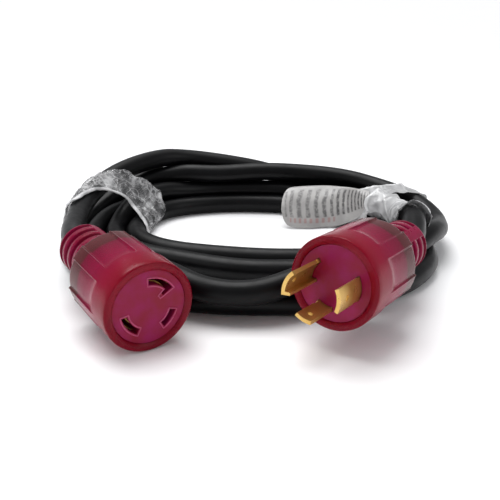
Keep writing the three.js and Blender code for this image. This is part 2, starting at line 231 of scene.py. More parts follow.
def through(points, parts=12):
    """A centripetal curve through the points, with `parts` steps between each two."""
    points = np.asarray(points, float)
    padded = np.vstack([2 * points[0] - points[1], points, 2 * points[-1] - points[-2]])
    line = []
    for a, b, c, d in zip(padded, padded[1:], padded[2:], padded[3:]):
        t1 = np.linalg.norm(b - a) ** 0.5
        t2 = t1 + np.linalg.norm(c - b) ** 0.5
        t3 = t2 + np.linalg.norm(d - c) ** 0.5
        for t in np.linspace(t1, t2, parts, endpoint=False):
            ab = ((t1 - t) * a + t * b) / t1
            bc = ((t2 - t) * b + (t - t1) * c) / (t2 - t1)
            cd = ((t3 - t) * c + (t - t2) * d) / (t3 - t2)
            abc = ((t2 - t) * ab + t * bc) / t2
            bcd = ((t3 - t) * bc + (t - t1) * cd) / (t3 - t1)
            line.append(((t2 - t) * abc + (t - t1) * bcd) / (t2 - t1))
    return np.array([*line, points[-1]])


def drawn_route():
    """The cable's route before it settles: lead, coil from outside to inside, lead."""
    connector = [behind(CONNECTOR_AT, CONNECTOR_AXIS, back) for back in (RELIEF_END, RELIEF_END + 0.012)]
    plug = [behind(PLUG_AT, PLUG_AXIS, back) for back in (RELIEF_END + 0.012, RELIEF_END)]
    middle = np.array(CONNECTOR_LEAD + COIL_STATIONS + PLUG_LEAD) / 1000 + SHIFT
    return evenly(through([*connector, *middle, *plug]), STEP)


def second_difference(line, reach=1):
    """How far each point lies from the middle of its neighbours, doubled."""
    bend = np.zeros_like(line)
    bend[reach:-reach] = line[: -2 * reach] - 2 * line[reach:-reach] + line[2 * reach :]
    return bend


def stiffen(line):
    """Spreads each bend along the cable, and eases the tightest ones."""
    for _ in range(2):
        bend = second_difference(line)
        line[2:-2] -= BEND_SPREAD * second_difference(bend)[2:-2]
        line[1:-1] += 0.01 * bend[1:-1]
    bend = second_difference(line, BEND_REACH)
    size = np.linalg.norm(bend, axis=1)
    allowed = (BEND_REACH * STEP) ** 2 / TIGHTEST_BEND
    excess = np.clip((size - allowed) / np.maximum(size, 1e-9), 0, 1)
    free = slice(HELD_POINTS, -HELD_POINTS)
    line[free] += BEND_EASE * (excess[:, None] * bend)[free]


def even_out(line):
    """Slides points along the cable until they are the same distance apart."""
    piece = line[1:] - line[:-1]
    size = np.linalg.norm(piece, axis=1)
    uneven = (size[1:] - size[:-1]) / (size[1:] + size[:-1])
    line[1:-1] += EVEN_SHARE * uneven[:, None] * (piece[1:] + piece[:-1])


def near_pairs(line):
    """Pairs of points of different turns that could touch soon."""
    gap = line[:, None, :] - line[None, :, :]
    index = np.arange(len(line))
    apart = int(4.4 * CABLE_R / STEP)
    near = ((gap**2).sum(-1) < (2 * CABLE_R + NEAR_GAP) ** 2) & (index[None, :] - index[:, None] > apart)
    return np.nonzero(near)


def push_apart(line, first, second):
    """Turns lie a cable's width apart."""
    gap = line[first] - line[second]
    distance = np.linalg.norm(gap, axis=1) + 1e-9
    touching = distance < 2 * CABLE_R
    first, second = first[touching], second[touching]
    push = (0.5 * (2 * CABLE_R / distance[touching] - 1))[:, None] * gap[touching]
    move, count = np.zeros_like(line), np.zeros(len(line))
    np.add.at(move, first, push)
    np.add.at(move, second, -push)
    np.add.at(count, first, 1)
    np.add.at(count, second, 1)
    line += PUSH * move / np.maximum(count, 1)[:, None]


def keep_off(line, at, axis):
    """The coil's turns stay outside a moulded end."""
    axis = unit(axis)
    offset = line - at
    back = -(offset @ axis)
    across = offset + back[:, None] * axis
    distance = np.linalg.norm(across, axis=1) + 1e-9
    round_corner = np.sqrt(np.maximum(0, CABLE_R**2 - (back - BODY_LENGTH) ** 2))
    need = np.where(back < BODY_LENGTH, BODY_R, RELIEF_R) + CABLE_R + END_GAP
    need = np.where(back > BODY_LENGTH, np.maximum(need, BODY_REAR_R + round_corner), need)
    index = np.arange(len(line))
    inside = (distance < need) & (back > -CABLE_R) & (back < RELIEF_END)
    inside &= (index >= LEAD_POINTS) & (index < len(line) - LEAD_POINTS)
    line[inside] += (across[inside] / distance[inside][:, None]) * (need - distance)[inside][:, None]


def settled(drawn):
    """Lays the cable down: it keeps near its route, bends smoothly, and rests on the floor and itself."""
    line = drawn.copy()
    for turn in range(ROUNDS):
        if turn % 8 == 0:
            first, second = near_pairs(line)
        line += ROUTE_PULL * (1 - 0.7 * turn / ROUNDS) * (drawn - line)
        line[:, 2] -= SAG
        stiffen(line)
        even_out(line)
        for _ in range(2):
            push_apart(line, first, second)
            keep_off(line, CONNECTOR_AT, CONNECTOR_AXIS)
            keep_off(line, PLUG_AT, PLUG_AXIS)
            line[:, 2] = np.maximum(line[:, 2], CABLE_R)
            line[:HELD_POINTS] = drawn[:HELD_POINTS]
            line[-HELD_POINTS:] = drawn[-HELD_POINTS:]
    return line


# ---------------- materials


def colour(red, green, blue):
    """A colour read off a screen, 0 to 255, as linear light."""
    linear = [((v / 255 + 0.055) / 1.055) ** 2.4 if v > 10 else v / 255 / 12.92 for v in (red, green, blue)]
    return (*linear, 1)


def join(socket, value):
    """Sets an input to a value, or links it if the value is another node's socket."""
    if isinstance(value, bpy.types.NodeSocket):
        socket.id_data.links.new(value, socket)
    else:
        socket.default_value = value


def feed(target, **inputs):
    """Sets or links a node's inputs by name."""
    for name, value in inputs.items():
        join(target.inputs[name.replace("_", " ")], value)


def node(tree, kind, **inputs):
    """A new node in a node tree, with its inputs set or linked by name."""
    made = tree.nodes.new(kind)
    feed(made, **inputs)
    return made


def bare_material(name, **constants):
    """A material whose shader's own sockets hold its constants; returns its tree and shader too."""
    material = bpy.data.materials.new(name)
    material.use_nodes = True
    tree = material.node_tree
    shader = tree.nodes["Principled BSDF"]
    feed(shader, **constants)
    return material, tree, shader


def grain(tree, scale, stretch=(1, 1, 1), detail=4):
    """Noise over the piece, finer with a bigger scale; returns its factor socket."""
    where = node(tree, "ShaderNodeTexCoord").outputs["Object"]
    stretched = node(tree, "ShaderNodeMapping", Vector=where, Scale=stretch).outputs["Vector"]
    settings = {"Scale": scale, "Detail": detail, "Roughness": 0.55}
    return node(tree, "ShaderNodeTexNoise", Vector=stretched, **settings).outputs["Fac"]


def ramp(factor, stops):
    """Colours along a factor: stops are (position, colour)."""
    made = node(factor.id_data, "ShaderNodeValToRGB", Fac=factor)
    elements = made.color_ramp.elements
    while len(elements) < len(stops):
        elements.new(0.5)
    for element, (position, tone) in zip(elements, stops):
        element.position = position
        element.color = tone
    return made.outputs["Color"]


def spread(factor, low, high, source=(0.3, 0.7)):
    """A factor's middle range mapped onto low..high."""
    limits = {"From_Min": source[0], "From_Max": source[1], "To_Min": low, "To_Max": high}
    return node(factor.id_data, "ShaderNodeMapRange", Value=factor, **limits).outputs["Result"]


def relief(shader, height, distance):
    """Turns a height into bumps of that depth in metres."""
    bump = node(shader.id_data, "ShaderNodeBump", Height=height, Strength=1.0, Distance=distance)
    feed(shader, Normal=bump.outputs["Normal"])


def moulded(name, dark, light, rough, scale=60, bump=0.00004, **constants):
    """A moulded or drawn surface: two close tones, uneven gloss and a fine skin."""
    material, tree, shader = bare_material(name, **constants)
    tone = ramp(grain(tree, scale), [(0.35, dark), (0.65, light)])
    gloss = spread(grain(tree, scale * 3.1), *rough)
    feed(shader, Base_Color=tone, Roughness=gloss)
    relief(shader, grain(tree, scale * 24), bump)
    return material


def jacket_material():
    """Black vinyl with a fine satin skin."""
    tones = colour(2, 2, 3), colour(7, 7, 9)
    return moulded("cable_jacket_satin", *tones, (0.32, 0.44), 45, 0.00003, Specular_IOR_Level=0.17)


def sleeve_material():
    """Tinted clear vinyl: red in front, deep raspberry over the core, and brownish grey where it stands free,
    which is painted shade of the hollow seen through it.
    """
    constants = {"Transmission_Weight": 0.6, "IOR": 1.3, "Specular_IOR_Level": 0.1}
    tones = colour(196, 12, 66), colour(206, 20, 88)
    material = moulded("clear_tint_vinyl_sleeve", *tones, (0.18, 0.26), 40, 0.000006, **constants)
    tree = material.node_tree
    along = node(tree, "ShaderNodeAttribute")
    along.attribute_name = "along"
    uneven = sum_of(along.outputs["Fac"], product(grain(tree, 55), 0.08))
    stops = [
        (0.03, colour(166, 4, 42)), (0.2, colour(174, 4, 54)), (0.5, colour(176, 0, 74)),
        # From 0.82 on, brownish grey: painted shade of the hollow behind the clear rear
        (0.78, colour(156, 4, 64)), (0.82, colour(112, 44, 50)), (1, colour(122, 66, 70)),
    ]
    feed(tree.nodes["Principled BSDF"], Base_Color=ramp(uneven, stops))
    return material


def moulding_material():
    """Deep raspberry vinyl that lets a little light through."""
    glow = {"Subsurface_Weight": 0.25, "Subsurface_Radius": (0.006, 0.0015, 0.003)}
    tones = colour(114, 4, 38), colour(130, 8, 58)
    return moulded("inner_vinyl_moulding", *tones, (0.24, 0.34), 50, 0.000008, Specular_IOR_Level=0.1, **glow)


def face_material():
    """Raspberry vinyl that glows a little, more magenta in patches."""
    glow = {"Subsurface_Weight": 0.6, "Subsurface_Radius": (0.010, 0.0018, 0.005)}
    tones = colour(134, 14, 46), colour(144, 18, 78)
    return moulded("face_vinyl_insert", *tones, (0.34, 0.42), 85, 0.00001, Specular_IOR_Level=0.2, **glow)


def lip_highlight_material():
    """The face's vinyl, painted lighter on a slot's thin lip: a painted highlight."""
    return moulded("face_vinyl_lip_painted_highlight", colour(160, 44, 84), colour(178, 66, 108), (0.25, 0.35), 200, 0.000004)


def brass_material():
    """Stamped brass, nearly smooth."""
    tones = colour(196, 152, 76), colour(222, 186, 112)
    return moulded("plated_brass", *tones, (0.26, 0.36), 34, 0.000001, Metallic=0.8)


def copper_material():
    """Bare stranded copper."""
    return moulded("bare_copper", colour(176, 98, 62), colour(214, 136, 92), (0.25, 0.4), 300, Metallic=1.0)


def insulation_material(name, dark, light):
    """Matt insulation of an inner wire."""
    return moulded(name, dark, light, (0.4, 0.55), 90)


def film_material(name, fold_scale, line_scale, clearest, tones):
    """Clear film: grey and see-through where flat, white along its creases and fold crests, partly its own
    haze and partly painted highlight, and whiter where it is doubled.
    """
    material, tree, shader = bare_material(name, IOR=1.45, Specular_IOR_Level=0.8, Roughness=0.1)
    folds = grain(tree, fold_scale, (1, 0.5, 1), detail=6)
    # Painted highlight: fold crests, facet edges and long crease lines turn white
    fold_haze_and_sheen = spread(folds, 0, 0.8, (0.42, 0.7))
    facets = product(facet_glint_lines(tree, line_scale), spread(folds, 0, 1, (0.4, 0.6)))
    long_glint_lines = product(wandering_glint_lines(tree, line_scale * 0.6), 0.6)
    lines = calculate("MAXIMUM", facets, long_glint_lines)
    doubled = node(tree, "ShaderNodeAttribute")
    doubled.attribute_name = "doubled"
    edge = product(doubled.outputs["Fac"], spread(folds, 0.55, 1, (0.35, 0.6)))
    white = calculate("MAXIMUM", calculate("MAXIMUM", fold_haze_and_sheen, lines), edge)
    stops = list(zip((0, 0.5, 1), [colour(tone, tone, tone + 1) for tone in tones]))
    cover = spread(white, clearest, 0.95, (0, 1))
    feed(shader, Base_Color=ramp(white, stops), Alpha=cover)
    relief(shader, white, 0.0007)
    return material


def facet_glint_lines(tree, scale):
    """Sharp edges of flat facets: 1 on a line, 0 away from it; the film paints its highlights along them."""
    where = node(tree, "ShaderNodeTexCoord").outputs["Object"]
    facets = node(tree, "ShaderNodeTexVoronoi", Vector=where, Scale=scale)
    facets.feature = "DISTANCE_TO_EDGE"
    return spread(facets.outputs["Distance"], 1, 0, (0.0, 0.12))


def wandering_glint_lines(tree, scale):
    """Long thin lines, where a slow noise passes its middle value; the film paints its highlights along them.
    """
    middle = sum_of(grain(tree, scale, (1, 0.5, 1), detail=2), -0.5)
    return spread(calculate("ABSOLUTE", middle, 0), 1, 0, (0.0, 0.035))


def floor_material():
    """Nearly white, without a pattern."""
    return moulded("pale_floor", colour(250, 250, 251), colour(252, 252, 253), (0.6, 0.7), 8, 0.00001)


def tag_material():
    """Grey laminated card with blurred bars in place of print, and a row of faint red marks."""
    constants = {"Specular_IOR_Level": 0.5, "Coat_Weight": 0.4, "Coat_Roughness": 0.15}
    material, tree, shader = bare_material("laminated_card", **constants)
    where = node(tree, "ShaderNodeUVMap")
    where.uv_map = "card"
    split = node(tree, "ShaderNodeSeparateXYZ", Vector=where.outputs["UV"])
    along, across = split.outputs["X"], split.outputs["Y"]
    bowed = sum_of(along, product(bulge(across), 0.05))
    crowded = product(bowed, sum_of(product(bowed, 8), 8))
    uneven = sum_of(crowded, product(grain(tree, 130), 0.5))
    breaks = spread(grain(tree, 420), 0.5, 1, (0.4, 0.55))
    denser = spread(along, 0.75, 1, (0.2, 0.6))
    printed = product(inside(across, 0.26, 0.92), inside(along, 0.06, 0.97))
    bars = product(wave(uneven), printed)
    ink = product(bars, product(breaks, denser))
    paper = ramp(grain(tree, 90), [(0.3, colour(150, 148, 147)), (0.7, colour(172, 170, 168))])
    darker = mix(product(ink, 0.9), paper, colour(60, 58, 59))
    row = product(inside(across, 0.12, 0.24), inside(along, 0.12, 0.55))
    blots = product(wave(product(along, 21)), product(row, 0.45))
    tone = mix(blots, darker, colour(158, 84, 84))
    feed(shader, Base_Color=tone, Roughness=spread(grain(tree, 160), 0.3, 0.5))
    relief(shader, grain(tree, 55, detail=3), 0.0005)
    return material


def calculate(operation, first, second):
    """A Math node over a socket and another socket or a number; returns its result."""
    made = node(first.id_data, "ShaderNodeMath")
    made.operation = operation
    for socket, value in zip(made.inputs, (first, second)):
        join(socket, value)
    return made.outputs["Value"]


def sum_of(first, second):
    """A socket plus a socket or a number."""
    return calculate("ADD", first, second)


def product(first, second):
    """A socket times a socket or a number."""
    return calculate("MULTIPLY", first, second)


def bulge(across):
    """1 in the middle of the card's width, 0 at its edges."""
    centred = sum_of(across, -0.5)
    return sum_of(product(product(centred, centred), -4), 1)


def wave(phase):
    """Bars: 1 on a bar, 0 between, one to each whole step of the phase."""
    swing = calculate("SINE", product(phase, 2 * math.pi), 0)
    return spread(swing, 0, 1, (-0.5, 0.7))


def inside(value, low, high):
    """1 between low and high, with soft edges."""
    above = spread(value, 0, 1, (low - 0.015, low + 0.015))
    below = spread(value, 1, 0, (high - 0.015, high + 0.015))
    return product(above, below)


def mix(factor, first, second):
    """A colour socket mixed with a fixed colour."""
    made = node(first.id_data, "ShaderNodeMix")
    made.data_type = "RGBA"
    feed(made, Factor=factor, A=first, B=second)
    return made.outputs["Result"]


# ---------------- meshes


def piece(name, points, faces, material, matrix=None):
    """A smooth-shaded mesh that rides on the object."""
    mesh = bpy.data.meshes.new(name)
    mesh.from_pydata([tuple(p) for p in points], [], faces)
    if matrix is not None:
        mesh.transform(matrix)
    mesh.materials.append(material)
    mesh.shade_smooth()
    return placed(name, mesh)


def in_scene(name, data):
    """A new object in the scene."""
    obj = bpy.data.objects.new(name, data)
    bpy.context.scene.collection.objects.link(obj)
    return obj


def placed(name, data):
    """A new object that rides on the part's one body."""
    obj = in_scene(name, data)
    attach(obj, "root")
    return obj


def mark(obj, name, values):
    """Stores a number at each of a mesh's points, for its material to read."""
    layer = obj.data.attributes.new(name, "FLOAT", "POINT")
    layer.data.foreach_set("value", np.asarray(values, np.float32))


def tube(name, points, radius, resolution, material, closed=False):
    """A round tube along a line of points."""
    data = bpy.data.curves.new(name, "CURVE")
    data.dimensions = "3D"
    data.bevel_depth = radius
    data.bevel_resolution = resolution
    spline = data.splines.new("POLY")
    spline.use_cyclic_u = closed
    spline.use_smooth = True
    spline.points.add(len(points) - 1)
    spline.points.foreach_set("co", np.column_stack([points, np.ones(len(points))]).ravel())
    data.materials.append(material)
    return placed(name, data)


def loft(rings, shell=False):
    """Points and faces of a skin over rings of equal length. A shell's last ring joins its first."""
    rings = np.asarray(rings, float)
    rows, count = rings.shape[:2]
    faces = []
    for row in range(rows if shell else rows - 1):
        a, b = row * count, (row + 1) % rows * count
        for i in range(count):
            j = (i + 1) % count
            faces.append((a + i, a + j, b + j, b + i))
    return rings.reshape(-1, 3), faces


def end_matrix(at, axis):
    """From an end's own frame, face at z = 0, looking along +z with its top at +y, to the CAD frame."""
    look = Vector(unit(axis))
    right = Vector((0, 0, 1)).cross(look).normalized()
    matrix = Matrix((right, look.cross(right), look)).transposed().to_4x4()
    matrix.translation = Vector(at)
    return matrix


def smooth_step(value, low, high):
    """0 below low, 1 above high, and a smooth rise between."""
    t = np.clip((value - low) / (high - low), 0, 1)
    return t * t * (3 - 2 * t)


def clustered(coarse, edges, offsets):
    """Sorted places: an even set, with a fine set of offsets round each edge."""
    fine = [edge + offset for edge in edges for offset in offsets]
    kept = [c for c in coarse if all(abs(c - f) > 0.4 * abs(offsets[1] - offsets[0]) for f in fine)]
    return np.array(sorted([*kept, *fine]))


def ring_points(radius, angles, z):
    """A ring about the end's own axis; angles in degrees, clockwise from the top."""
    turn = np.radians(angles)
    return np.stack([radius * np.sin(turn), radius * np.cos(turn), np.full(len(angles), float(z))], 1)


# ---------------- moulded ends


def panel_shape(prefix, angles, back):
    """How far the sleeve stands from plain: sunk in a finger panel, with a bead along its long edges."""
    pitch = 360 / PANEL_COUNT
    middles = PANEL_TURN[prefix] + pitch * np.round((angles - PANEL_TURN[prefix]) / pitch)
    from_edge = np.radians(PANEL_ANGLE / 2 - np.abs(angles - middles)) * BODY_R
    behind_front = back - FRONT_BAND
    sunk = PANEL_DEPTH * smooth_step(from_edge, *PANEL_WALL) * smooth_step(behind_front, 0, PANEL_FADE)
    ridge = np.exp(-(((from_edge + BEAD_OUT) / BEAD_WIDTH) ** 2))
    bead = BEAD_HEIGHT * ridge * smooth_step(behind_front, 0, 0.001)
    return bead - sunk


def body_radius(back):
    """The sleeve's plain radius at this distance behind the face."""
    return np.interp(back, (0, FRONT_BAND, BODY_LENGTH), (BODY_R, BODY_R, BODY_REAR_R))


def sleeve(prefix, matrix, material):
    """Clear outer sleeve: plain front band, then six finger panels that run out at its rear."""
    pitch = 360 / PANEL_COUNT
    middles = [PANEL_TURN[prefix] + pitch * k for k in range(PANEL_COUNT)]
    edges = [middle + side * PANEL_ANGLE / 2 for middle in middles for side in (-1, 1)]
    angles = clustered(np.arange(edges[0] - 8, edges[0] + 352, 3), edges, PANEL_STEPS)
    round_steps = np.radians(np.linspace(0, 90, 5))
    rings = [ring_points(SLEEVE_INNER_R, angles, 0)]
    for turn in round_steps:
        radius = BODY_R - RIM_ROUND * (1 - math.sin(turn))
        rings.append(ring_points(radius, angles, -RIM_ROUND * (1 - math.cos(turn))))
    backs = [0.005, 0.009, 0.012, *(FRONT_BAND + BAND_STEPS), 0.022, 0.028, 0.034, 0.040, 0.045, 0.0485]
    for back in backs:
        rings.append(ring_points(body_radius(back) + panel_shape(prefix, angles, back), angles, -back))
    for turn in round_steps:
        radius = BODY_REAR_R - RIM_ROUND * (1 - math.cos(turn)) + panel_shape(prefix, angles, BODY_LENGTH)
        rings.append(ring_points(radius, angles, -BODY_LENGTH + RIM_ROUND * (1 - math.sin(turn))))
    rings.append(ring_points(SLEEVE_INNER_R, angles, -BODY_LENGTH))
    rings.append(ring_points(SLEEVE_INNER_R, angles, -BODY_LENGTH / 2))
    obj = piece(f"{prefix}_clear_sleeve", *loft(rings, shell=True), material, matrix)
    mark(obj, "along", -np.array(rings)[:, :, 2].ravel() / BODY_LENGTH)
    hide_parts(f"{prefix}_sleeve")
    return obj


def groove_sink(prefix, angles, back):
    """Depth of the strain relief's half-round grooves at this distance behind the face."""
    sink = np.zeros(len(angles))
    for index in range(GROOVE_COUNT):
        start = FIRST_GROOVE + index * GROOVE_PITCH
        in_length = min(back - start, start + GROOVE_WIDTH - back)
        for side in (90, 270):
            off = np.abs((angles - RIB_TURN[prefix] - side + 180) % 360 - 180)
            in_angle = np.radians(GROOVE_ARC / 2 - off) * RELIEF_R
            sink += GROOVE_DEPTH * smooth_step(np.minimum(in_angle, in_length), *GROOVE_WALL)
    return sink


def moulding(prefix, matrix, material):
    """Inner moulding: round the wiring at the front, then a tapered, grooved strain relief."""
    rib_edges = [RIB_TURN[prefix] + side + half * GROOVE_ARC / 2 for side in (90, 270) for half in (-1, 1)]
    angles = clustered(np.arange(rib_edges[0] - 10, rib_edges[0] + 350, 4), rib_edges, RIB_STEPS)
    front = MOULDING_FRONT[prefix]
    backs = [front, 0.032]
    backs += [CORE_BACK - 0.001, CORE_BACK, CORE_BACK + 0.001, NECK_START - 0.001, NECK_START, 0.05]
    for index in range(GROOVE_COUNT):
        start = FIRST_GROOVE + index * GROOVE_PITCH
        backs += [*(start + GROOVE_STEPS), *(start + GROOVE_WIDTH - GROOVE_STEPS[::-1])]
    outside = ((0, CORE_BACK, NECK_START, RELIEF_END), (CORE_R, CORE_R, RELIEF_R, RELIEF_END_R))
    rings = []
    for back in backs:
        radius = np.interp(back, *outside) - groove_sink(prefix, angles, back)
        rings.append(ring_points(radius, angles, -back))
    for turn in np.radians(np.linspace(0, 90, 6)):
        radius = RELIEF_END_R - RELIEF_ROUND * (1 - math.cos(turn))
        rings.append(ring_points(radius, angles, -RELIEF_END + RELIEF_ROUND * (1 - math.sin(turn))))
    bore = CABLE_R + BORE_GAP
    rings += [ring_points(bore, angles, -RELIEF_END), ring_points(bore, angles, -NECK_START)]
    rings += [ring_points(CORE_HOLLOW_R, angles, -CORE_BACK + CORE_WALL)]
    rings += [ring_points(CORE_HOLLOW_R, angles, -front)]
    obj = piece(f"{prefix}_inner_moulding", *loft(rings, shell=True), material, matrix)
    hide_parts(f"{prefix}_strain_relief")
    return obj


def bar_outline(inner_r, outer_r, start, end, hook=None, spread_by=0.0):
    """A curved bar between two angles; its hook turns inwards at the end."""
    way = math.copysign(1, end - start)
    start, end = start - way * spread_by, end + way * spread_by
    sweep = np.linspace(start, end, 15)
    outer = ring_points(outer_r, sweep, 0)
    if hook is None:
        return [*outer, *ring_points(inner_r, sweep[::-1], 0)]
    length, angle = hook
    foot = end - way * angle
    inner = ring_points(inner_r, np.linspace(foot, start, 12), 0)
    return [*outer, *ring_points(inner_r - length, np.array([end, foot]), 0), *inner]


def prism(name, outline, from_z, to_z, matrix, material):
    """The outline pulled along the end's axis, as a closed mesh."""
    outline = np.array(outline)
    if signed_area(outline) < 0:
        outline = outline[::-1]
    count = len(outline)
    low, high = outline.copy(), outline.copy()
    low[:, 2], high[:, 2] = from_z, to_z
    sides = [(i, (i + 1) % count, (i + 1) % count + count, i + count) for i in range(count)]
    caps = [tuple(range(count))[::-1], tuple(range(count, 2 * count))]
    return piece(name, [*low, *high], [*sides, *caps], material, matrix)


def signed_area(outline):
    """Positive where the outline runs anticlockwise."""
    x, y = outline[:, 0], outline[:, 1]
    return 0.5 * float(np.sum(x * np.roll(y, -1) - y * np.roll(x, -1)))


def drill(obj, cutter):
    """Cuts one mesh out of another and removes the cutter."""
    step = obj.modifiers.new("cut", "BOOLEAN")
    step.operation = "DIFFERENCE"
    step.solver = "EXACT"
    step.object = cutter
    applied(obj)
    bpy.data.objects.remove(cutter)


def applied(obj):
    """Makes an object's modifiers part of its mesh."""
    shape = bpy.data.meshes.new_from_object(obj.evaluated_get(bpy.context.evaluated_depsgraph_get()))
    obj.modifiers.clear()
    obj.data = shape


def thicken(obj, thickness):
    """Gives a skin its thickness."""
    step = obj.modifiers.new("skin", "SOLIDIFY")
    step.thickness = thickness
    applied(obj)


def soften(obj, width):
    """Rounds a mesh's sharp edges."""
    step = obj.modifiers.new("soften", "BEVEL")
    step.width = width
    step.segments = 3
    step.angle_limit = math.radians(35)
    step.harden_normals = True
    applied(obj)
    obj.data.shade_smooth()


def blade(pole, matrix, material):
    """Brass blade: a curved bar with softened edges, a sight hole near its tip and a locking notch."""
    start, end, hooked = PLUG_BLADES[pole]
    hook = (HOOK_LENGTH, HOOK_ANGLE) if hooked else None
    outline = bar_outline(POLE_R - BLADE_THICK / 2, POLE_R + BLADE_THICK / 2, start, end, hook)
    length = BLADE_LENGTH[pole]
    obj = prism(f"plug_{pole}_blade_brass", outline, -BLADE_ROOT, length, matrix, material)
    middle = math.radians((start + end) / 2)
    out = Vector((math.sin(middle), math.cos(middle), 0))
    through_blade = out.to_track_quat("Z", "Y").to_matrix().to_4x4()
    through_blade.translation = out * POLE_R + Vector((0, 0, length - BLADE_HOLE_FROM_TIP))
    circle = ring_points(BLADE_HOLE_R, np.arange(0, 360, 15), 0)
    drill(obj, prism("sight_hole", circle, -CUT_REACH, CUT_REACH, matrix @ through_blade, material))
    way = math.copysign(1, end - start)
    from_angle = start - way * NOTCH_ANGLE
    cut = bar_outline(POLE_R - CUT_REACH, POLE_R + CUT_REACH, from_angle, from_angle + way * NOTCH_SWEEP)
    drill(obj, prism("notch", cut, NOTCH_FROM, NOTCH_FROM + NOTCH_HEIGHT, matrix, material))
    soften(obj, BLADE_SOFTENING)
    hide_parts(f"plug_{pole}_blade")
    return obj


def slot_lip(pole, matrix, material):
    """Rounded lip that stands round one slot of the connector's face."""
    start, end, hooked = CONNECTOR_SLOTS[pole]
    hook = (HOOK_LENGTH + 2 * LIP_OUT, HOOK_ANGLE + 2 * LIP_SPREAD) if hooked else None
    half = SLOT_WIDTH / 2 + LIP_OUT
    outline = bar_outline(POLE_R - half, POLE_R + half, start, end, hook, spread_by=LIP_SPREAD)
    line = [matrix @ Vector((x, y, -FACE_SINK)) for x, y, _ in outline]
    obj = tube(f"connector_{pole}_slot_lip", line, LIP_R, 3, material, closed=True)
    return obj


# ---------------- cable, film and tag


def cable(line, material):
    """The whole cable as one tube from strain relief to strain relief."""
    obj = tube("cable", line, CABLE_R, 7, material)
    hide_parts("cable_coil", "connector_lead", "plug_lead")
    return obj


def sections(line, centre, along):
    """Where a plane cuts the cable, as a row of close circles: centres (outwards, upwards) and radii."""
    side = unit(np.cross((0, 0, 1), along))
    up = np.cross(along, side)
    offset = line - centre
    height = offset @ along
    flat = np.stack([offset @ side, offset @ up], 1)
    cut = (np.abs(height) < CABLE_R) & (np.linalg.norm(flat, axis=1) < BUNDLE_REACH)
    return flat[cut], np.sqrt(CABLE_R**2 - height[cut] ** 2), side, up


def tight_loop(places, radii):
    """Evenly spaced points round a band drawn tight over the turns, from low outside, over the top."""
    turns = np.linspace(-math.pi / 4, 1.75 * math.pi, LOOP_WAYS, endpoint=False)
    ways = np.stack([np.cos(turns), np.sin(turns)], 1)
    furthest = np.argmax(ways @ places.T + radii, axis=1)
    loop = places[furthest] + ways * (radii[furthest] + FILM_CLEAR)[:, None]
    closed = np.vstack([loop, loop[:1]])
    run = length_along(closed)
    at = np.linspace(0, run[-1], BAND_COLUMNS, endpoint=False)
    return np.stack([np.interp(at, run, closed[:, k]) for k in range(2)], 1)


def creases(place, seed, fineness):
    """Height of the film's folds at a place, 0 to 1."""
    seen = Vector(place) * fineness + Vector((seed, 0, 0))
    sharp = 1 - abs(noise.noise(seen + noise.noise_vector(seen * 0.6) * 0.9))
    fine = 1 - abs(noise.noise(seen * 2.3 + Vector((0, seed, 0))))
    return 0.7 * sharp**4 + 0.3 * fine**6


def crumpled(rings, seed, height, fineness, rim=1.8):
    """Lifts a band's skin into folds, more so at its two rims."""
    rings = np.array(rings)
    middle = rings.mean(axis=1, keepdims=True)
    outward = rings - middle
    outward /= np.linalg.norm(outward, axis=2, keepdims=True)
    rows = len(rings)
    for row in range(rows):
        at_rim = abs(2 * row / (rows - 1) - 1) ** 3
        for column, place in enumerate(rings[row]):
            lift = height * (1 + (rim - 1) * at_rim) * creases(place, seed, fineness)
            rings[row, column] = place + outward[row, column] * lift
    rings[:, :, 2] = np.maximum(rings[:, :, 2], FILM_FLOOR)
    return rings


def band_rings(line, centre, heading, edges, rows):
    """Tight loops round the bundle, row after row along it. Edges say how far the band's front and
    rear rims lie from the centre, at each share of the way round."""
    turn = math.radians(heading)
    along = np.array((math.cos(turn), math.sin(turn), 0))
    centre = np.asarray(centre) + SHIFT
    fine_line = evenly(line, BAND_STEP)
    at_share, front_rim, rear_rim = np.array(edges).T
    offsets = np.arange(front_rim.min(), rear_rim.max() + 2 * BAND_STEP, BAND_STEP)
    loops = []
    for offset in offsets:
        origin = centre + along * offset
        places, radii, side, up = sections(fine_line, origin, along)
        loop = tight_loop(places, radii)
        loops.append(origin + loop[:, :1] * side + loop[:, 1:] * up)
    loops = smoothed(np.array([running_mean(loop, 7) for loop in loops]))
    columns = np.arange(BAND_COLUMNS)
    share = columns / BAND_COLUMNS
    front = np.interp(share, at_share, front_rim)
    rear = np.interp(share, at_share, rear_rim)
    wanted = (front + (rear - front) * np.linspace(0, 1, rows)[:, None] - offsets[0]) / BAND_STEP
    low = np.minimum(wanted.astype(int), len(offsets) - 2)
    part = (wanted - low)[:, :, None]
    return loops[low, columns] * (1 - part) + loops[low + 1, columns] * part


def smoothed(rings):
    """Evens a band along the bundle, so that its skin has no steps."""
    for _ in range(6):
        rings[1:-1] += 0.5 * (0.5 * (rings[:-2] + rings[2:]) - rings[1:-1])
    return rings


def with_hem(rings):
    """Folds the band's front rim back on itself, as a flat doubled edge."""
    rim = running_mean(rings[0], 9)
    away = rim - running_mean(rings[4], 9)
    away /= np.linalg.norm(away, axis=1, keepdims=True)
    outward = rim - rim.mean(axis=0)
    outward -= (outward * away).sum(axis=1, keepdims=True) * away
    outward /= np.linalg.norm(outward, axis=1, keepdims=True)
    turns = np.radians(np.linspace(290, 0, HEM_ROWS, endpoint=False))
    hem = [rim + HEM_WIDE * math.sin(a) * away + HEM_HIGH * (1 - math.cos(a)) * outward for a in turns]
    rolled = np.concatenate([np.array(hem), rings])
    rolled[:, :, 2] = np.maximum(rolled[:, :, 2], FILM_FLOOR)
    return rolled


def running_mean(ring, width):
    """A closed ring with each point moved to the mean of its neighbours."""
    return sum(np.roll(ring, shift, axis=0) for shift in range(-(width // 2), width // 2 + 1)) / width


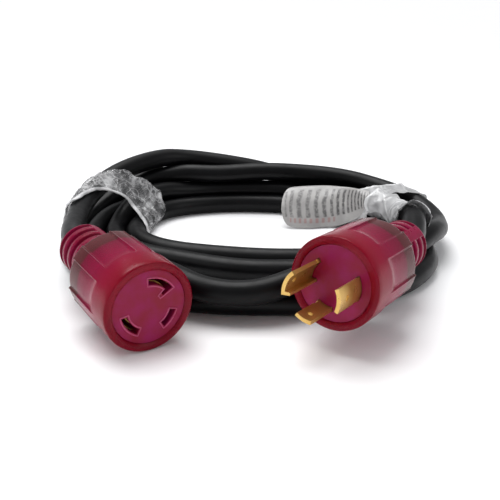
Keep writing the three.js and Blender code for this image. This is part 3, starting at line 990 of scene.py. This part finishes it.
def film_piece(name, rings, material, stands_for=(), doubled_rows=2):
    """A film band: a thin closed skin wrapped on the cable."""
    obj = piece(name, *loft(rings), material)
    rows, count = rings.shape[:2]
    doubled = np.repeat(1 - smooth_step(np.arange(rows), doubled_rows, doubled_rows + 2), count)
    mark(obj, "doubled", doubled)
    thicken(obj, FILM_THICK)
    if stands_for:
        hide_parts(*stands_for)
    return obj


# Share of the way round from low outside, then the front and rear rims' distance from the centre
LEFT_FILM_EDGES = [
    (0, -0.010, 0.006), (0.12, -0.012, 0.006), (0.2, -0.036, 0.006), (0.24, -0.030, 0.010),
    (0.3, -0.012, 0.020), (0.36, 0.000, 0.032), (0.44, 0.008, 0.043), (0.5, 0.006, 0.046),
    (0.58, -0.002, 0.042), (0.64, -0.008, 0.034), (0.72, -0.010, 0.022), (0.86, -0.012, 0.014),
    (1, -0.010, 0.006),
]
RIGHT_FILM_EDGES = [(0, -0.012, 0.014), (0.3, -0.008, 0.011), (0.6, -0.014, 0.014), (1, -0.012, 0.014)]


def left_film(line, material):
    """A wide, slanted wrap with a folded front edge."""
    rings = band_rings(line, (-0.112, 0.066, 0.02), 84, LEFT_FILM_EDGES, 48)
    rings = with_hem(crumpled(rings, 3, 0.0026, 70, rim=1.1))
    return film_piece("left_film", rings, material, ["left_film_wrap"], HEM_ROWS + 1)


def right_film(line, material):
    """A narrow wrap that holds the tag's end."""
    rings = crumpled(band_rings(line, (0.105, 0.090, 0.018), -68, RIGHT_FILM_EDGES, 30), 11, 0.0014, 45)
    return film_piece("right_film", rings, material, ["right_film_wrap"])


def lead_film(line, material):
    """Loose end of the right wrap: a crumpled sleeve round the plug's lead."""
    run = length_along(line)
    before_end = run[-1] - run
    stretch = line[(before_end < LEAD_FILM_RUN[0]) & (before_end > LEAD_FILM_RUN[1])]
    rings = []
    for row, (before, here, after) in enumerate(zip(stretch, stretch[1:], stretch[2:])):
        along = unit(after - before)
        side = unit(np.cross((0, 0, 1), along))
        up = np.cross(along, side)
        turns = np.radians(np.linspace(0, 360, LEAD_FILM_COLUMNS, endpoint=False))
        radius = CABLE_R + LEAD_FILM_CLEAR + LEAD_FILM_FLARE * math.exp(-row / 2)
        rings.append(here + radius * (np.cos(turns)[:, None] * side + np.sin(turns)[:, None] * up))
    rings = finer(np.array(rings), 4)
    return film_piece("plug_lead_film", crumpled(rings, 23, 0.0030, 38), material)


def finer(rings, parts):
    """More rows between each two."""
    rows = np.arange(len(rings))
    at = np.linspace(0, rows[-1], rows[-1] * parts + 1)
    low = np.minimum(at.astype(int), rows[-1] - 1)
    share = (at - low)[:, None, None]
    return rings[low] * (1 - share) + rings[low + 1] * share


# Foot, middle and top of the card's surface from its rounded end to the wrap that holds it, in millimetres
CARD_LINES = [
    ((18, 86, 4), (18, 92, 15), (18, 104, 26)),
    ((26, 85, 1.5), (26, 91.5, 15), (26, 106, 28)),
    ((40, 84.5, 1), (40, 91, 15), (40, 107.5, 29)),
    ((57, 87, 1.2), (57, 92, 16), (57, 106.5, 29.5)),
    ((70, 83, 5.5), (70, 88.5, 19), (70, 98.5, 30.3)),
    ((78, 76.5, 12), (78, 78.8, 24), (78, 87.8, 31.8)),
    ((85, 69, 17), (85, 71.2, 26), (85, 80, 32.3)),
]


def card_point(rows, across):
    """A point across one row of the card: a curve through foot, middle and top."""
    foot, middle, top = rows
    return (
        foot * (1 - across) * (1 - 2 * across)
        + middle * 4 * across * (1 - across)
        + top * across * (2 * across - 1)
    )


def tag(material):
    """Care tag: a laminated card with a rounded end, leaning on the coil's inner side."""
    lines = [through(np.array([row[k] for row in CARD_LINES]) / 1000 + SHIFT, 10) for k in range(3)]
    rows, count = len(lines[0]), 25
    points, places = [], []
    for row in range(rows):
        along = row / (rows - 1)
        half = max(0.02, 0.5 * math.sqrt(1 - max(0.0, 1 - along / CARD_END) ** 2.4))
        for across in np.linspace(0.5 - half, 0.5 + half, count):
            place = card_point([line[row] for line in lines], across)
            ripple = TAG_RIPPLE * noise.noise(Vector((along * 5, across * 3, 2)))
            points.append(place + np.array((0, -ripple, ripple)))
            places.append((along, across))
    faces = [
        (a, a + 1, a + 1 + count, a + count)
        for row in range(rows - 1)
        for a in range(row * count, row * count + count - 1)
    ]
    obj = piece("care_card", points, faces, material)
    layer = obj.data.uv_layers.new(name="card")
    for loop in obj.data.loops:
        layer.data[loop.index].uv = places[loop.vertex_index]
    thicken(obj, TAG_THICK)
    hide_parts("care_tag")
    return obj


# ---------------- stage


def stage():
    """A plain pale floor and room, a broad soft sky light and three large soft lights."""
    mesh = bpy.data.meshes.new("floor")
    corners = [(x * FLOOR_HALF, y * FLOOR_HALF, 0) for x, y in ((-1, -1), (1, -1), (1, 1), (-1, 1))]
    mesh.from_pydata(corners, [], [(0, 1, 2, 3)])
    mesh.materials.append(floor_material())
    in_scene("floor", mesh)
    world = bpy.data.worlds.new("room")
    world.use_nodes = True
    background = world.node_tree.nodes["Background"]
    looking = node(world.node_tree, "ShaderNodeTexCoord").outputs["Generated"]
    height = node(world.node_tree, "ShaderNodeSeparateXYZ", Vector=looking).outputs["Z"]
    strength = spread(height, HORIZON_LIGHT, ROOM_LIGHT, HORIZON_BAND)
    feed(background, Color=ROOM_COLOUR, Strength=strength)
    bpy.context.scene.world = world
    sky = bpy.data.lights.new("sky", "SUN")
    sky.energy = SKY_ENERGY
    sky.angle = math.radians(SKY_SPREAD)
    aimed_light(sky, SKY_AT, (0, 0, 0))
    for name, (at, target, size, power) in SOFT_LIGHTS.items():
        soft = bpy.data.lights.new(name, "AREA")
        soft.size = size
        soft.energy = power
        aimed_light(soft, at, target)


def aimed_light(data, at, target):
    """Puts a light in the scene, turned towards its target."""
    light = in_scene(data.name, data)
    light.location = at
    light.rotation_euler = (Vector(target) - Vector(at)).to_track_quat("-Z", "Y").to_euler()


def camera():
    """A camera a little above the object, straight from the front."""
    data = bpy.data.cameras.new("camera")
    data.lens = LENS
    data.sensor_width = SENSOR
    data.clip_start = 0.01
    eye = in_scene("camera", data)
    eye.location = Vector(EYE) + Vector(SHIFT)
    eye.rotation_euler = (math.radians(90 - LOOK_DOWN), 0, 0)
    bpy.context.scene.camera = eye


# ---------------- assembly


def dress(names, material):
    """Gives CAD nodes a procedural material."""
    for name in names:
        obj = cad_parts[name]
        obj.data.materials.clear()
        obj.data.materials.append(material)


def dress_wiring(brass, copper):
    """Materials of the CAD parts that stay: contacts, wiring and lamp."""
    green = insulation_material("green_insulation", colour(34, 120, 52), colour(52, 148, 72))
    black = insulation_material("black_insulation", colour(16, 16, 18), colour(30, 30, 32))
    white = insulation_material("white_insulation", colour(214, 212, 204), colour(236, 234, 228))
    for prefix in ("connector", "plug"):
        for pole, insulation in (("ground", green), ("hot", black), ("neutral", white)):
            dress([f"{prefix}_{pole}_conductor"], insulation)
            dress([f"{prefix}_{pole}_copper_end"], copper)
            dress([f"{prefix}_{pole}_crimp_barrel"], brass)
    dress([f"connector_{pole}_contact" for pole in CONNECTOR_SLOTS], brass)
    clear = colour(226, 214, 204), colour(244, 236, 226)
    dress(["connector_lamp"], moulded("lamp_lens_clear", *clear, (0.08, 0.16), Transmission_Weight=0.7))
    dress(["connector_lamp_resistor"], resistor_material())


def resistor_material():
    """Tan body with coloured bands across it."""
    material, tree, shader = bare_material("banded_resistor", Roughness=0.4)
    position = node(tree, "ShaderNodeTexCoord").outputs["Generated"]
    split = node(tree, "ShaderNodeSeparateXYZ", Vector=position)
    tan, brown, red = colour(206, 176, 124), colour(92, 54, 30), colour(170, 44, 36)
    stops = [(0, tan), (0.28, brown), (0.34, tan), (0.48, red), (0.54, tan), (0.7, brown), (0.76, tan)]
    feed(shader, Base_Color=ramp(split.outputs["Y"], stops))
    return material


def moulded_end(prefix, at, axis, sleeve_vinyl, moulding_vinyl, face_vinyl, jacket):
    """One end's sleeve and moulding, with the CAD's face and cable end dressed; returns its frame."""
    matrix = end_matrix(at, axis)
    sleeve(prefix, matrix, sleeve_vinyl)
    moulding(prefix, matrix, moulding_vinyl)
    dress([f"{prefix}_face"], face_vinyl)
    dress([f"{prefix}_cable_end"], jacket)
    return matrix


def build():
    """Makes every piece of the cord."""
    noise.seed_set(CREASE_SEED)
    jacket, brass = jacket_material(), brass_material()
    # Film tones run from flat grey to the white of its painted crease highlights
    crumpled_film = film_material("crumpled_clear_film", 130, 130, 0.3, (104, 168, 232))
    folded_film = film_material("folded_clear_film", 30, 50, 0.6, (166, 200, 236))
    vinyls = (sleeve_material(), moulding_material(), face_material())
    # The slots' lips take a lighter vinyl, a painted highlight
    lip = lip_highlight_material()
    route = settled(drawn_route())
    cord = cable(route, jacket)
    connector = moulded_end("connector", CONNECTOR_AT, CONNECTOR_AXIS, *vinyls, jacket)
    plug = moulded_end("plug", PLUG_AT, PLUG_AXIS, *vinyls, jacket)
    for pole in CONNECTOR_SLOTS:
        slot_lip(pole, connector, lip)
    for pole in PLUG_BLADES:
        blade(pole, plug, brass)
    dress_wiring(brass, copper_material())
    wraps = [left_film(route, crumpled_film), right_film(route, folded_film), lead_film(route, folded_film)]
    wraps.append(tag(tag_material()))


build()
stage()
camera()
bpy.context.scene.view_settings.view_transform = "Standard"
